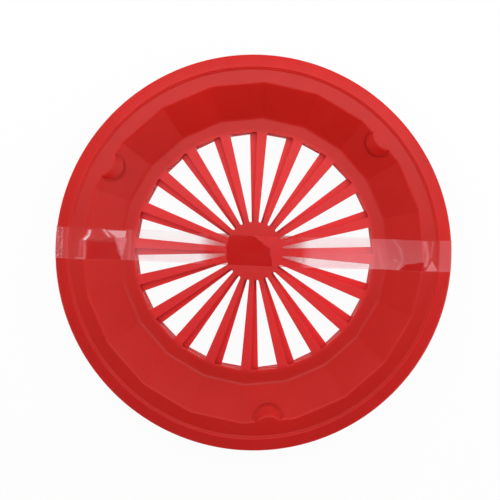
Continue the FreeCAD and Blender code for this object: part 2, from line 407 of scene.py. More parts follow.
def stuck_mask(tree, tape, place, groups):
    """Where the film is stuck down, from all the patches along the strip."""
    moved = add_node(tree, "ShaderNodeVectorMath", {0: place, 1: (0.0, -tape.shift, 0.0)}, operation="ADD")
    turned = add_node(tree, "ShaderNodeVectorRotate", {"Vector": moved.outputs[0], "Angle": -tape.turn},
                      rotation_type="Z_AXIS")
    parts = add_node(tree, "ShaderNodeSeparateXYZ", {0: turned.outputs[0]})
    square = reckon(tree, "MULTIPLY", parts.outputs["X"], parts.outputs["X"])
    across = reckon(tree, "MULTIPLY_ADD", square, -tape.bow / (RIM_RADIUS * MM) ** 2, parts.outputs["Y"])
    laid = add_node(tree, "ShaderNodeCombineXYZ", {"X": parts.outputs["X"], "Y": across})
    ragged = place_group(tree, groups["ragged"], {"Place": laid.outputs[0], "Wander": RAGGED_WANDER})
    mask = 0.0
    for corners in STUCK_PATCHES:
        patch = 1.0
        for first, along in sides(corners):
            side = place_group(tree, groups["side"], {
                "Place": ragged.outputs["Place"], "Corner": (*(first * MM), 0.0),
                "Inward": (-along.y, along.x, 0.0),
            })
            patch = reckon(tree, "MULTIPLY", patch, side.outputs["Mask"])
        mask = reckon(tree, "MAXIMUM", mask, patch)
    from_middle = reckon(tree, "ABSOLUTE", across)
    return reckon(tree, "MULTIPLY", mask, ease(tree, from_middle, tape.width / 2, STUCK_REACH * tape.width))


# The two finishes

# how much painted light the hub and the lip get, as a share of the spokes'
HUB_SHARE = 0.4
LIP_SHARE = 0.25
# where that painted light changes: past the hub and at the slots' outer ends, as shares of the slots' end
# radii, and to each side of the lip's start
HUB_FADE = 1.5
SLOT_FADE = (1.04, 0.98)
LIP_FADE = 0.5 * MM

# the body of the plastic, and the strength of its texture
PLASTIC_BODY = {
    "IOR": 1.49, "Specular IOR Level": 0.3,
    "Subsurface Weight": 0.7, "Subsurface Radius": (1.0, 0.08, 0.05), "Subsurface Scale": 4 * MM,
}
PLASTIC_GRAIN = {"Spread": 0.22, "Gloss spread": 0.16}
PLASTIC_TEXTURE = {"Strength": 0.12, "Distance": 0.2 * MM}
# scuffs on the plastic: each run's direction in radians and its strength
SCUFF_RUNS = ((0.5, 0.5), (2.2, 0.4))
# a scuff keeps this much of the plastic's colour and gains this much white, shows this much of that,
# and is rougher by this much
SCUFF_KEEP = 0.82
SCUFF_WHITE = 0.1
SCUFF_SHOW = 0.25
SCUFF_ROUGH = 0.12

FILM_IOR = 1.48
FILM_GRAIN = {"Spread": 1.2, "Gloss": 0.2, "Gloss spread": 0.2}
FILM_SMEAR = 0.1
# how much the painted highlight on a fold of the film covers, and between which of its values it turns white
FOLD_COVER = 0.7
FOLD_WHITE = (0.6, 1.5)
# the share of the film's cover that each of its faces has, and the least that a face covers
FACE_SHARE = 0.5
LEAST_COVER = 0.003
# close to the hub the film takes on the red of the narrow spokes below it: where that starts and where it
# is full, and how much each face of the film covers there
BLUSH_REACH = (44 * MM, 18 * MM)
BLUSH_COVER = 0.45


def new_material(name):
    """A material with an empty tree, its Principled shader and its Object coordinates."""
    material = bpy.data.materials.new(name)
    material.use_nodes = True
    tree = material.node_tree
    tree.nodes.clear()
    shader = tree.nodes.new("ShaderNodeBsdfPrincipled")
    output = tree.nodes.new("ShaderNodeOutputMaterial")
    tree.links.new(shader.outputs[0], output.inputs["Surface"])
    place = tree.nodes.new("ShaderNodeTexCoord").outputs["Object"]
    return material, tree, shader, place


def axis_distance(tree, place):
    """How far a place is from the pack's upright axis."""
    level = add_node(tree, "ShaderNodeVectorMath", {0: place, 1: (1.0, 1.0, 0.0)}, operation="MULTIPLY")
    distance = add_node(tree, "ShaderNodeVectorMath", {0: level.outputs[0]}, operation="LENGTH")
    return distance.outputs["Value"]


def painted_light_places(tree, place, sizes):
    """Where light is painted into the plastic's colour: most on the spokes, for light coming up through them,
    less on the hub, and a little on the lip, for the side light it catches.
    """
    radius = axis_distance(tree, place)
    past_hub = ease(tree, radius, sizes.slot_inner_end, HUB_FADE * sizes.slot_inner_end, HUB_SHARE, 1.0)
    in_slots = ease(tree, radius, *(part * sizes.slot_outer_end for part in SLOT_FADE))
    lip_start = sizes.ring_reach + sizes.step_run
    on_lip = ease(tree, radius, lip_start - LIP_FADE, lip_start + LIP_FADE, 0.0, LIP_SHARE)
    return reckon(tree, "MULTIPLY_ADD", past_hub, in_slots, on_lip)


def red_plastic(name, finishes, groups, sizes, tape=None):
    """Satin red moulding; with a tape given, deeper and glossier where the film is stuck to it."""
    material, tree, shader, place = new_material(name)
    grain = place_group(tree, groups["grain"], {"Place": place, "Gloss": finishes.satin, **PLASTIC_GRAIN})
    scuffs = [
        place_group(tree, groups["scuffs"], {"Place": place, "Direction": turn, "Amount": amount}).outputs[0]
        for turn, amount in SCUFF_RUNS
    ]
    scuff = reckon(tree, "MAXIMUM", *scuffs)
    # painted light: a lighter red where light through the spokes and hub and side light on the lip are
    # painted in
    painted_light_red = opaque(finishes.painted_light_red if tape else finishes.painted_light_lower_red)
    red = blend_colours(tree, painted_light_places(tree, place, sizes), opaque(finishes.red), painted_light_red)
    toned = add_node(tree, "ShaderNodeVectorMath",
                     {0: red, "Scale": grain.outputs["Tone"]}, operation="SCALE")
    pale = tuple(SCUFF_KEEP * channel + SCUFF_WHITE for channel in finishes.red)
    shown = reckon(tree, "MULTIPLY", scuff, SCUFF_SHOW)
    shade = blend_colours(tree, shown, toned.outputs[0], opaque(pale))
    rough = reckon(tree, "MULTIPLY_ADD", scuff, SCUFF_ROUGH, grain.outputs["Roughness"])
    if tape:
        stuck = stuck_mask(tree, tape, place, groups)
        shade = blend_colours(tree, stuck, shade, opaque(finishes.deep_red))
        gap = reckon(tree, "SUBTRACT", finishes.pressed, rough)
        rough = reckon(tree, "MULTIPLY_ADD", gap, stuck, rough)
    bump = add_node(tree, "ShaderNodeBump", {"Height": grain.outputs["Height"], **PLASTIC_TEXTURE})
    for socket, value in (("Base Color", shade), ("Roughness", rough), ("Normal", bump.outputs[0])):
        tree.links.new(value, shader.inputs[socket])
    for socket, value in PLASTIC_BODY.items():
        shader.inputs[socket].default_value = value
    return material


def clear_film(name, finishes, groups, tape):
    """Clear film: hazy where loose, all but unseen where stuck down, with painted highlights along folds,
    panes, edges and cut teeth, red by the hub.
    """
    material, tree, shader, place = new_material(name)
    loose = reckon(tree, "SUBTRACT", 1.0, stuck_mask(tree, tape, place, groups))
    grain = place_group(tree, groups["grain"], {"Place": place, **FILM_GRAIN})
    smear = place_group(tree, groups["scuffs"],
                        {"Place": place, "Direction": -tape.turn, "Amount": FILM_SMEAR})
    haze = add_node(tree, "ShaderNodeAttribute", attribute_name="haze").outputs["Fac"]
    # painted highlights of the folds, panes, edges and cut teeth, as stored on the mesh
    folds = add_node(tree, "ShaderNodeAttribute", attribute_name="painted_fold_highlight").outputs["Fac"]
    veil = reckon(tree, "MULTIPLY_ADD", haze, grain.outputs["Tone"], smear.outputs["Mask"])
    veil = reckon(tree, "MULTIPLY", veil, loose)
    cover = reckon(tree, "MULTIPLY_ADD", folds, FOLD_COVER, veil)
    each_side = reckon(tree, "MULTIPLY_ADD", cover, FACE_SHARE, LEAST_COVER, clamp=True)
    whiteness = ease(tree, folds, *FOLD_WHITE)
    tint = blend_colours(tree, whiteness, opaque(finishes.film), opaque(finishes.painted_fold_highlight))
    near_hub = ease(tree, axis_distance(tree, place), *BLUSH_REACH, 0.0, BLUSH_COVER)
    blush = reckon(tree, "MULTIPLY", near_hub, loose)
    each_side = reckon(tree, "MAXIMUM", each_side, blush)
    tint = blend_colours(tree, ease(tree, blush, 0.0, BLUSH_COVER / 2), tint, opaque(finishes.painted_light_red))
    tree.links.new(tint, shader.inputs["Base Color"])
    tree.links.new(grain.outputs["Roughness"], shader.inputs["Roughness"])
    tree.links.new(each_side, shader.inputs["Alpha"])
    shader.inputs["IOR"].default_value = FILM_IOR
    return material


# The moulded holder

# corners of the fine groove in the step, as shares of the step's run and rise
STEP_GROOVE = ((0.4, 0.55), (0.58, 0.4))
# the most of a side of the section that a rounded corner may take
BEND_LIMIT = 0.45
# the middle of a slot's softened edge, as a share of the bevel
BEVEL_MIDDLE = 0.3
# how far a lug's root lies outside the mouth and its top below the crest, in edge blends
LUG_ROOT = 4.0
LUG_SINK = 0.02
# edges of a lug that turn by more than this are bevelled
LUG_EDGE = math.radians(40)
# upper end of the cutters, and lower end of the window's, as shares of the crest's height
CUTTER_TOP = 1.5
WINDOW_FOOT = 0.25
# how far the groove round a lug runs to each side of the lug's tip, and how much of its width is in the lug
GROOVE_SWING = math.radians(80)
GROOVE_LAP = 0.2
# sectors are welded where they meet within this distance
WELD = 0.01 * MM


def corner(radius, height, faceted=ROUND, rounding=0.0):
    """A corner of the holder's section, and how softly it is turned."""
    return Vector((radius, height, faceted)), rounding


def wall_corner(sizes, height):
    """Corner radius of the well's facets at a height."""
    climb = (height - sizes.base_plate) / (sizes.crest - sizes.base_plate)
    return sizes.floor_corner + (sizes.mouth_corner - sizes.floor_corner) * climb


def half_facet(sizes):
    """Half of the angle that one facet takes up."""
    return math.pi / sizes.facet_count


def section_corners(sizes):
    """The holder's section, from the well's floor over the rim and back to the underside."""
    step_foot = sizes.crest - sizes.ring_fall
    step_top = step_foot + sizes.step_rise
    lip_start = sizes.ring_reach + sizes.step_run
    edge_top = step_top - sizes.lip_fall
    edge_foot = edge_top - sizes.lip_edge
    ring_slope = sizes.ring_fall / (sizes.ring_reach - sizes.mouth_corner)
    apron = 2 * sizes.crease_blend
    outer = sizes.wall_level / math.cos(half_facet(sizes))
    wall_top = sizes.crest - sizes.skin
    soft = sizes.edge_blend
    step_groove = [
        corner(sizes.ring_reach + along * sizes.step_run, step_foot + up * sizes.step_rise, ROUND, soft / 4)
        for along, up in STEP_GROOVE
    ]
    return [
        corner(sizes.floor_corner - apron, sizes.base_plate, FACETED),
        corner(sizes.floor_corner, sizes.base_plate, FACETED, sizes.crease_blend),
        corner(sizes.mouth_corner, sizes.crest, FACETED, soft),
        corner(sizes.mouth_corner + 2 * soft, sizes.crest - 2 * soft * ring_slope),
        corner(sizes.ring_reach, step_foot, ROUND, soft / 2),
        *step_groove,
        corner(lip_start, step_top, ROUND, soft / 2),
        corner(sizes.rim_radius, edge_top, ROUND, 2 * soft),
        corner(sizes.rim_radius, edge_foot, ROUND, soft / 2),
        corner(lip_start, step_top - sizes.skin, ROUND, soft),
        corner(sizes.ring_reach, step_foot - sizes.skin, ROUND, soft),
        corner(sizes.mouth_corner + 2 * soft, wall_top - 2 * soft * ring_slope),
        corner(wall_corner(sizes, wall_top) + outer, wall_top, FACETED, soft / 2),
        corner(wall_corner(sizes, 0.0) + outer, 0.0, FACETED, soft),
        corner(sizes.floor_corner - apron, 0.0, FACETED),
    ]


def soften(corners):
    """The section as a line of stations, with its corners rounded."""
    line = []
    for index, (place, rounding) in enumerate(corners):
        if not rounding:
            line.append(place)
            continue
        before = corners[index - 1][0] - place
        after = corners[index + 1][0] - place
        start = place + before * min(BEND_LIMIT, rounding / before.xy.length)
        end = place + after * min(BEND_LIMIT, rounding / after.xy.length)
        line.append(start)
        line += curve(start, place, end, ROUND_STEPS)
    return line


def curve(start, pull, end, count):
    """Points of a bend from start to end that leans towards pull, without its start."""
    points = []
    for step in range(1, count + 1):
        along = step / count
        points.append(start.lerp(pull, along).lerp(pull.lerp(end, along), along))
    return points


def run(start, end, count):
    """Points of a straight stretch, without its start."""
    return [start.lerp(end, step / count) for step in range(1, count + 1)]


def station_point(sizes, station, across):
    """A point of a station, across one facet from -1 to 1, on the flat facet or on the round."""
    radius, height, faceted = station
    half = half_facet(sizes)
    flat = Vector((radius * math.cos(half), across * radius * math.sin(half), height))
    arc = Vector((radius * math.cos(across * half), radius * math.sin(across * half), height))
    return arc.lerp(flat, faceted)


def facet_columns():
    """Places across a facet, with a narrow strip along each fold."""
    inner = [FOLD_SHARE * (2 * step / COLUMN_STEPS - 1) for step in range(COLUMN_STEPS + 1)]
    return [-1.0, *inner, 1.0]


def slot_outline(sizes, grow):
    """A tapered slot with rounded corners, grown outwards by a margin, counterclockwise."""
    run_length = sizes.slot_outer_end - sizes.slot_inner_end
    taper = (sizes.slot_outer_width - sizes.slot_inner_width) / 2 / run_length
    margin = grow * math.hypot(1.0, taper)

    def half_width(x):
        return sizes.slot_inner_width / 2 + taper * (x - sizes.slot_inner_end) + margin

    inner = sizes.slot_inner_end - grow
    outer = sizes.slot_outer_end + grow
    corners = [
        Vector((inner, -half_width(inner))),
        Vector((outer, -half_width(outer))),
        Vector((outer, half_width(outer))),
        Vector((inner, half_width(inner))),
    ]
    points = []
    for index, place in enumerate(corners):
        before = (corners[index - 1] - place).normalized()
        after = (corners[(index + 1) % len(corners)] - place).normalized()
        opening = before.angle(after) / 2
        radius = sizes.slot_corner + grow
        centre = place + (before + after).normalized() * radius / math.sin(opening)
        first = place + before * radius / math.tan(opening) - centre
        sweep = math.pi - 2 * opening
        for step in range(SLOT_ARC_STEPS + 1):
            points.append(centre + Matrix.Rotation(sweep * step / SLOT_ARC_STEPS, 2) @ first)
    return points


def bridge_rings(bm, upper, lower):
    """Faces between two closed rings of vertices, facing inwards."""
    count = len(upper)
    for index in range(count):
        following = (index + 1) % count
        bm.faces.new((upper[index], upper[following], lower[following], lower[index]))


def fill_floor(bm, sizes, side, slot, facing, dip):
    """The flat piece of the base between the hub, the floor's side and the slot, with the hub's dimple."""
    height = side[0].co.z
    half = half_facet(sizes)
    centre = bm.verts.new((0.0, 0.0, height - dip))
    mark = [
        bm.verts.new((sizes.gate_mark * math.cos(swing), sizes.gate_mark * math.sin(swing), height))
        for swing in (half, 0.0, -half)
    ]
    for first, second in zip(mark, mark[1:]):
        bm.faces.new((centre, second, first) if facing > 0 else (centre, first, second))
    outline = [*mark, *side]
    edges = [bm.edges.get(pair) or bm.edges.new(pair) for pair in zip(outline, outline[1:] + outline[:1])]
    edges += [bm.edges.get(pair) for pair in zip(slot, slot[1:] + slot[:1])]
    filled = bmesh.ops.triangle_fill(bm, edges=edges, use_beauty=True, normal=(0.0, 0.0, facing))
    for face in filled["geom"]:
        if isinstance(face, bmesh.types.BMFace):
            face.normal_update()
            if face.normal.z * facing < 0:
                face.normal_flip()


def mesh_object(name, bm):
    """A mesh object of the scene made from an edit mesh."""
    mesh = bpy.data.meshes.new(name)
    bm.to_mesh(mesh)
    bm.free()
    thing = bpy.data.objects.new(name, mesh)
    bpy.context.scene.collection.objects.link(thing)
    return thing


def sector_form(sizes):
    """One facet's share of a holder: base with its slot, wall and rim."""
    bm = bmesh.new()
    columns = facet_columns()
    rows = [
        [bm.verts.new(station_point(sizes, station, across)) for across in columns]
        for station in soften(section_corners(sizes))
    ]
    for near, far in zip(rows, rows[1:]):
        for index in range(len(columns) - 1):
            bm.faces.new((near[index], far[index], far[index + 1], near[index + 1]))
    top, bevel = sizes.base_plate, sizes.slot_bevel
    middle = BEVEL_MIDDLE * bevel
    levels = ((bevel, top), (middle, top - middle), (0.0, top - bevel), (0.0, bevel), (bevel, 0.0))
    rings = [
        [bm.verts.new((point.x, point.y, height)) for point in slot_outline(sizes, grow)]
        for grow, height in levels
    ]
    for upper, lower in zip(rings, rings[1:]):
        bridge_rings(bm, upper, lower)
    fill_floor(bm, sizes, rows[0], rings[0], 1.0, sizes.gate_dip)
    fill_floor(bm, sizes, rows[-1], rings[-1], -1.0, 0.0)
    return mesh_object("holder_sector", bm)


def lug_form(sizes):
    """A lug on the +X side: an awning that reaches in and down from the mouth."""
    mouth = sizes.mouth_corner * math.cos(half_facet(sizes))
    centre = mouth + sizes.lug_seat
    seat = mouth + sizes.lug_lap
    root = mouth + LUG_ROOT * sizes.edge_blend
    below_crest = LUG_SINK * sizes.edge_blend
    ring_slope = sizes.ring_fall / (sizes.ring_reach - sizes.mouth_corner)
    bm = bmesh.new()
    top_rows, under_rows = [], []
    for step in range(LUG_STEPS + 1):
        swing = math.pi * (step / LUG_STEPS - 0.5)
        across = sizes.lug_reach * math.sin(swing)
        tip = centre - sizes.lug_reach * math.cos(swing)
        top_row, under_row = [], []
        for reach in range(LUG_STEPS + 1):
            x = root + (tip - root) * reach / LUG_STEPS
            out = math.hypot(x - mouth - sizes.awning_out, across) - sizes.awning_top
            fall = sizes.awning_slope * (out + math.hypot(out, sizes.edge_blend / 2)) / 2
            fall += ring_slope * max(0.0, x - sizes.mouth_corner)
            top = sizes.crest - below_crest - fall
            under = sizes.crest - sizes.lug_skin - (seat - x) * math.tan(sizes.lug_pitch)
            top_row.append(bm.verts.new((x, across, top)))
            under_row.append(bm.verts.new((x, across, min(under, top - sizes.lug_skin / 2))))
        top_rows.append(top_row)
        under_rows.append(under_row)
    for rows, order in ((top_rows, 1), (under_rows, -1)):
        for near, far in zip(rows, rows[1:]):
            for index in range(LUG_STEPS):
                bm.faces.new((near[index + 1], near[index], far[index], far[index + 1])[::order])
    top_loop, under_loop = (edge_loop(rows) for rows in (top_rows, under_rows))
    bridge_rings(bm, under_loop, top_loop)
    rim_edges = [edge for edge in bm.edges if edge.calc_face_angle(0.0) > LUG_EDGE]
    bmesh.ops.bevel(bm, geom=rim_edges, offset=sizes.slot_bevel, segments=2, profile=0.5, affect="EDGES")
    bmesh.ops.recalc_face_normals(bm, faces=bm.faces)
    return mesh_object("holder_lug", bm)


def edge_loop(rows):
    """The vertices round the border of a grid, in order."""
    first, last = rows[0], rows[-1]
    right = [row[-1] for row in rows[1:-1]]
    left = [row[0] for row in rows[1:-1]]
    return first + right + last[::-1] + left[::-1]


def window_form(sizes):
    """The half-round cutter for the window in the wall under a lug."""
    centre = sizes.mouth_corner * math.cos(half_facet(sizes)) + sizes.lug_seat
    bm = bmesh.new()
    rings = []
    for height in (CUTTER_TOP * sizes.crest, WINDOW_FOOT * sizes.crest):
        ring = []
        for step in range(WINDOW_STEPS + 1):
            swing = math.pi * (0.5 + step / WINDOW_STEPS)
            reach = Vector((math.cos(swing), math.sin(swing))) * sizes.window_reach
            ring.append(bm.verts.new((centre + reach.x, reach.y, height)))
        rings.append(ring)
    bridge_rings(bm, *rings)
    for ring in rings:
        bm.faces.new(ring)
    bmesh.ops.recalc_face_normals(bm, faces=bm.faces)
    return mesh_object("holder_window", bm)


def groove_form(sizes):
    """The cutter for the shallow groove round a lug, following the slope of the wall."""
    half = half_facet(sizes)
    mouth = sizes.mouth_corner * math.cos(half)
    centre = mouth + sizes.lug_seat
    slope = (sizes.crest - sizes.base_plate) / ((sizes.mouth_corner - sizes.floor_corner) * math.cos(half))
    bm = bmesh.new()
    rings = []
    for step in range(WINDOW_STEPS + 1):
        swing = math.pi + GROOVE_SWING * (2 * step / WINDOW_STEPS - 1)
        ring = []
        for reach, low in ((0.0, False), (1.0, False), (1.0, True), (0.0, True)):
            radius = sizes.lug_reach + (reach - GROOVE_LAP) * sizes.groove_width
            x = centre + radius * math.cos(swing)
            floor = sizes.crest - (mouth - x) * slope - sizes.groove_depth
            height = floor if low else CUTTER_TOP * sizes.crest
            ring.append(bm.verts.new((x, radius * math.sin(swing), height)))
        rings.append(ring)
    for near, far in zip(rings, rings[1:]):
        bridge_rings(bm, near, far)
    for ring in (rings[0], rings[-1]):
        bm.faces.new(ring)
    bmesh.ops.recalc_face_normals(bm, faces=bm.faces)
    return mesh_object("holder_groove", bm)


def holder_ring_tree():
    """Sectors set round the axis and joined, with windows cut and lugs added on some facets."""
    tree = bpy.data.node_groups.new("holder_ring", "GeometryNodeTree")
    for name, kind in (("Geometry", "Geometry"), ("Sector", "Object"), ("Window", "Object"),
                       ("Lug", "Object"), ("Groove", "Object"), ("Facets", "Int"), ("Weld", "Float"),
                       ("Finish", "Material")):
        tree.interface.new_socket(name=name, in_out="INPUT", socket_type="NodeSocket" + kind)
    tree.interface.new_socket(name="Geometry", in_out="OUTPUT", socket_type="NodeSocketGeometry")
    given = tree.nodes.new("NodeGroupInput").outputs
    spots = add_node(tree, "GeometryNodeMeshLine", {"Count": given["Facets"], "Offset": (0.0, 0.0, 0.0)})
    index = tree.nodes.new("GeometryNodeInputIndex").outputs[0]
    pitch = reckon(tree, "DIVIDE", math.tau, given["Facets"])
    turn = add_node(tree, "ShaderNodeCombineXYZ", {"Z": reckon(tree, "MULTIPLY", index, pitch)})
    rotation = add_node(tree, "FunctionNodeEulerToRotation", {0: turn.outputs[0]}).outputs[0]
    chosen = None
    for facet in LUG_FACETS:
        match = add_node(tree, "FunctionNodeCompare", {2: index, 3: facet},
                         data_type="INT", operation="EQUAL").outputs[0]
        if chosen is not None:
            either = add_node(tree, "FunctionNodeBooleanMath", {0: chosen, 1: match}, operation="OR")
            match = either.outputs[0]
        chosen = match

    def set_round(source, selection=None):
        form = add_node(tree, "GeometryNodeObjectInfo", {"Object": given[source]}).outputs["Geometry"]
        inputs = {"Points": spots.outputs[0], "Instance": form, "Rotation": rotation}
        if selection:
            inputs["Selection"] = selection
        placed = add_node(tree, "GeometryNodeInstanceOnPoints", inputs)
        return add_node(tree, "GeometryNodeRealizeInstances", {0: placed.outputs[0]}).outputs[0]

    weld = {"Geometry": set_round("Sector"), "Distance": given["Weld"]}
    dish = add_node(tree, "GeometryNodeMergeByDistance", weld).outputs[0]
    pierced = add_node(tree, "GeometryNodeMeshBoolean", operation="DIFFERENCE", solver="EXACT")
    tree.links.new(dish, pierced.inputs["Mesh 1"])
    tree.links.new(set_round("Window", chosen), pierced.inputs["Mesh 2"])
    lugged = add_node(tree, "GeometryNodeMeshBoolean", operation="UNION", solver="EXACT")
    tree.links.new(pierced.outputs["Mesh"], lugged.inputs["Mesh 2"])
    tree.links.new(set_round("Lug", chosen), lugged.inputs["Mesh 2"])
    grooved = add_node(tree, "GeometryNodeMeshBoolean", operation="DIFFERENCE", solver="EXACT")
    tree.links.new(lugged.outputs["Mesh"], grooved.inputs["Mesh 1"])
    tree.links.new(set_round("Groove", chosen), grooved.inputs["Mesh 2"])
    smooth = add_node(tree, "GeometryNodeSetShadeSmooth", {"Geometry": grooved.outputs["Mesh"]})
    real = add_node(tree, "GeometryNodeRealizeInstances", {0: smooth.outputs[0]})
    finished = add_node(tree, "GeometryNodeSetMaterial", {0: real.outputs[0], "Material": given["Finish"]})
    result = tree.nodes.new("NodeGroupOutput")
    tree.links.new(finished.outputs[0], result.inputs[0])
    return tree


def grown_mesh(name, tree, values):
    """The plain mesh that a node tree gives, with the tree's inputs set by name."""
    host = bpy.data.objects.new(name, bpy.data.meshes.new(name + "_host"))
    bpy.context.scene.collection.objects.link(host)
    modifier = host.modifiers.new(name, "NODES")
    modifier.node_group = tree
    for item in tree.interface.items_tree:
        if item.in_out == "INPUT" and item.name in values:
            modifier[item.identifier] = values[item.name]
    bpy.context.view_layer.update()
    depsgraph = bpy.context.evaluated_depsgraph_get()
    mesh = bpy.data.meshes.new_from_object(host.evaluated_get(depsgraph), depsgraph=depsgraph)
    mesh.name = name
    bpy.data.objects.remove(host)
    return mesh


def moulding_mesh(sizes, finish):
    """One whole holder, unturned, with its underside at the origin."""
    forms = {
        "Sector": sector_form(sizes), "Window": window_form(sizes),
        "Lug": lug_form(sizes), "Groove": groove_form(sizes),
    }
    values = {**forms, "Facets": sizes.facet_count, "Weld": WELD, "Finish": finish}
    mesh = grown_mesh("moulding", holder_ring_tree(), values)
    for form in forms.values():
        bpy.data.objects.remove(form)
    return mesh


# The clear tape

# folds of the film, each from one point to another along and across the strip, then its height and
# breadth, in millimetres
FOLDS = (
    (-107.9, 8.6, -108.5, 5.6, 0.6, 0.9),
    (-108.5, 5.6, -110.8, 2.9, 0.6, 0.9),
    (-113.0, 2.5, -113.3, -8.0, 0.1, 0.8),
    (-110.6, 2.5, -110.2, -8.6, 0.12, 0.9),
    (-116.0, -9.6, -110.2, -9.5, 0.2, 0.6),
    (-83.5, 9.8, -83.5, -9.8, 0.12, 0.6),
    (-99.8, 9.6, -96.5, 5.0, 0.5, 0.7),
    (-93.0, 4.0, -88.0, -10.0, 0.2, 0.4),
    (81.5, 9.8, 80.5, -9.8, 0.12, 0.6),
    (83.5, 4.0, 86.5, -9.5, 0.08, 0.8),
    (93.0, 10.0, 98.0, 3.0, 0.13, 0.8),
    (98.0, 3.0, 99.0, -4.0, 0.13, 0.8),
    (99.0, -4.0, 96.0, -10.0, 0.13, 0.8),
    (94.0, -3.5, 96.0, -4.6, 0.2, 0.6),
    (112.2, 8.5, 114.0, 0.0, 0.2, 1.2),
    (114.0, 0.0, 113.0, -6.0, 0.24, 1.1),
    (117.0, 9.5, 116.0, -1.0, 0.1, 0.7),
    (32.0, 9.8, 33.5, -6.0, 0.2, 0.8),
    (27.0, -3.0, 29.0, -9.8, 0.15, 0.8),
    (24.0, 7.0, 21.0, 2.0, 0.14, 0.8),
    (-30.0, 4.0, -29.0, -4.0, 0.1, 0.8),
)
# flat panes of loose film between folds: how bright their painted highlight is, how high, and the corners
# counterclockwise
PANES = (
    (1.0, 0.5, ((-92.5, 4.0), (-86.5, 4.6), (-85.5, 9.6), (-99.0, 9.6))),
    (0.6, 0.6, ((-93.2, 4.8), (-88.0, -10.0), (-85.3, 4.8))),
    (0.6, 0.5, ((112.8, -10.0), (121.0, -10.0), (116.8, -2.5))),
)
# width of a pane's soft edge, and how bright the painted highlight on a fold is for its height
PANE_EDGE = 0.5
FOLD_GLOW = 2.4
# stretches of the strip from left to right: where each ends, how much its haze covers, and how much
# heavier the haze is for each millimetre towards the near edge
HAZES = (
    (-121.0, 0.12, 0.02), (-111.0, 0.035, 0.05), (-86.5, 0.06, 0.05), (-80.0, 0.09, 0.05),
    (-20.0, 0.14, 0.1), (20.0, 0.04, 0.05), (80.0, 0.31, 0.05), (98.0, 0.26, 0.03),
    (112.0, 0.23, 0.03), (121.5, 0.035, 0.03), (131.0, 0.19, 0.02),
)
# length over which one stretch's haze passes into the next one's, and the haze of the under run
HAZE_BLEND = 1.5
PLAIN_HAZE = 0.1
# painted highlight along the strip's long edges
EDGE_GLOW = 0.12
# glints on the cut tail: their glow, where their rows lie in millimetres from its end, how broad a row is,
# how far it reaches in breadths, and the contrast and scale of the noise that breaks it into dots
GLINT_GLOW = 1.0
GLINT_ROWS = (1.2, 3.9)
GLINT_BREADTH = 0.8
GLINT_REACH = 1.5
GLINT_CONTRAST = 4.0
GLINT_NOISE = 1.6
# height and scale of the film's fine ripple
RIPPLE_HEIGHT = 0.03 * MM
RIPPLE_NOISE = 90.0

# how finely the film is divided across the strip, and along each stretch of its section
FILM_ROWS = 61
UPPER_STEPS = {"floor": 44, "sag": 14, "wall": 16, "mouth": 8, "ring": 12, "lip": 8, "edge": 6, "side": 6}
UNDER_STEPS = {"base": 24, "heel": 3, "wall": 16, "knee": 4, "side": 6}
TAIL_STEPS = 4
# how far the film stands off along its way, in hovers
STAND_OFF = {"under": 0.1, "wall": 1.3, "mouth": 6.0, "ring": 3.0, "step": 2.0, "lip": 1.5, "edge": 2.0}
# a facet counts as facing along the strip when the cosine of its turn is more than this
FACING = 0.5
# the bend over the mouth: how far below the crest it starts, and how far past the mouth it ends
MOUTH_DROP = 1.4 * MM
MOUTH_RUN = 3 * MM
# the bend over the rim's edge: how far inside the edge and above it the film starts to turn, and how far
# below it the turn ends
EDGE_RUN = 2 * MM
EDGE_RISE = 0.6 * MM
EDGE_DROP = 1.6 * MM
# the under run: its bend at the base's edge, its slant up to a knee below the crest, as shares of the
# slant's length at which it starts and ends, and its bend at the knee
HEEL_RUN = 2 * MM
KNEE_DROP = 4.2 * MM
SLANT = (0.06, 0.95)
KNEE_RISE = 2 * MM
# the cut tail: how far it lies outside and above the upper run in hovers, the least length of its last
# step, and the fall of the lip for its run
TAIL_LAP = (0.8, 1.2)
TAIL_STEP = 0.5 * MM
TAIL_FALL = 0.29


def gentle(value):
    """A smooth step from 0 to 1."""
    value = min(1.0, max(0.0, value))
    return value * value * (3 - 2 * value)


def loose_film(along, across):
    """How far the upper run stands up at a place on it, how bright the painted highlights on its folds and
    panes are, and how hazy it is.
    """
    here = Vector((along, across)) / MM
    rise, glow = 0.0, 0.0
    for x_from, y_from, x_to, y_to, height, breadth in FOLDS:
        start = Vector((x_from, y_from))
        span = Vector((x_to, y_to)) - start
        along_fold = min(1.0, max(0.0, (here - start).dot(span) / span.length_squared))
        ridge = math.exp(-((here - start - span * along_fold).length / breadth) ** 2)
        rise = max(rise, height * ridge)
        glow = max(glow, FOLD_GLOW * height * ridge)
    for brightness, height, corners in PANES:
        depth = min(along_side.cross(here - first) for first, along_side in sides(corners))
        inside = gentle(depth / PANE_EDGE)
        rise = max(rise, height * inside)
        glow = max(glow, brightness * inside)
    _, haze, lean = HAZES[0]
    for (end, *before), (_, *after) in zip(HAZES, HAZES[1:]):
        share_past = gentle((here.x - end) / HAZE_BLEND + 0.5)
        haze += (after[0] - before[0]) * share_past
        lean += (after[1] - before[1]) * share_past
    return rise * MM, glow, haze * (1.0 - lean * here.y)


def plain_film(along, across):
    """The looks of the under run, which has no folds."""
    return 0.0, 0.0, PLAIN_HAZE


def cut_film(tape):
    """The looks of the cut tail, which glints in dots along its teeth."""
    def looks(along, across):
        past = (abs(along) - tape.tail_end) / MM
        near = max(gentle(GLINT_REACH - abs(past - row) / GLINT_BREADTH) for row in GLINT_ROWS)
        dots = noise.noise(Vector((along, across, 0.0)) / tape.tooth * GLINT_NOISE)
        return 0.0, GLINT_GLOW * near * gentle(GLINT_CONTRAST * dots), PLAIN_HAZE / 2
    return looks


def drift(tape, along):
    """How far the strip has drifted sideways at a distance from the hub."""
    return tape.bow * (along / RIM_RADIUS / MM) ** 2


